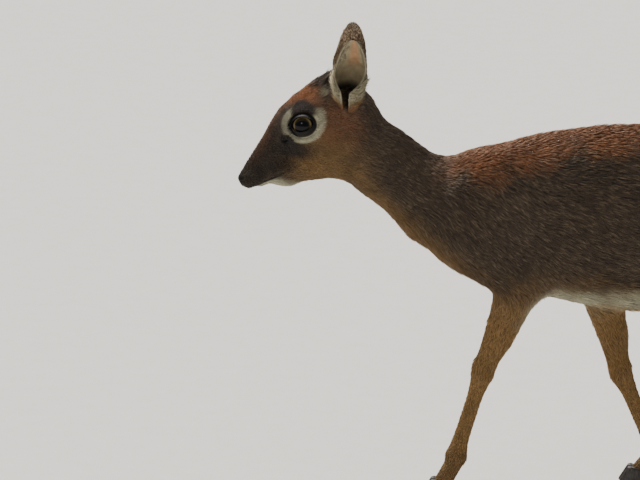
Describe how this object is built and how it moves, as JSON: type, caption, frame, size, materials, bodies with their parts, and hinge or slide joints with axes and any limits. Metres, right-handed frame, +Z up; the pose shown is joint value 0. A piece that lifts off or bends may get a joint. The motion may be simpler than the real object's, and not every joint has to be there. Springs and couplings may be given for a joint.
{
  "type": "standing dik-dik",
  "caption": "Life-size model of a hornless female dik-dik antelope, walking slowly with its head low.",
  "frame": {"origin": "centre of the bounding box, at the floor", "axes": "+Z up, the head towards -X, the left side towards -Y"},
  "size_m": [0.5966, 0.1118, 0.4447],
  "materials": {
    "body_coat": "short, dense, grizzled grey-brown fur that lies flat, white below",
    "head_coat": "short rusty fur, pale round the eye, dark tuft on the crown",
    "leg_coat": "very short tan fur",
    "horn": "black horn, slightly worn",
    "eye": "wet, dark brown, glossy"
  },
  "bodies": {
    "root": {"ear_left": "head_coat", "ear_right": "head_coat", "eye_left": "eye", "eye_right": "eye", "head": "head_coat", "left_fore_cannon": "leg_coat", "left_fore_forearm": "leg_coat", "left_fore_hoof_inner": "horn", "left_fore_hoof_outer": "horn", "left_fore_pastern": "leg_coat", "left_hind_cannon": "leg_coat", "left_hind_gaskin": "leg_coat", "left_hind_hoof_inner": "horn", "left_hind_hoof_outer": "horn", "left_hind_pastern": "leg_coat", "neck": "body_coat", "right_fore_cannon": "leg_coat", "right_fore_forearm": "leg_coat", "right_fore_hoof_inner": "horn", "right_fore_hoof_outer": "horn", "right_fore_pastern": "leg_coat", "right_hind_cannon": "leg_coat", "right_hind_gaskin": "leg_coat", "right_hind_hoof_inner": "horn", "right_hind_hoof_outer": "horn", "right_hind_pastern": "leg_coat", "tail": "body_coat", "torso": "body_coat"}
  },
  "joints": []
}
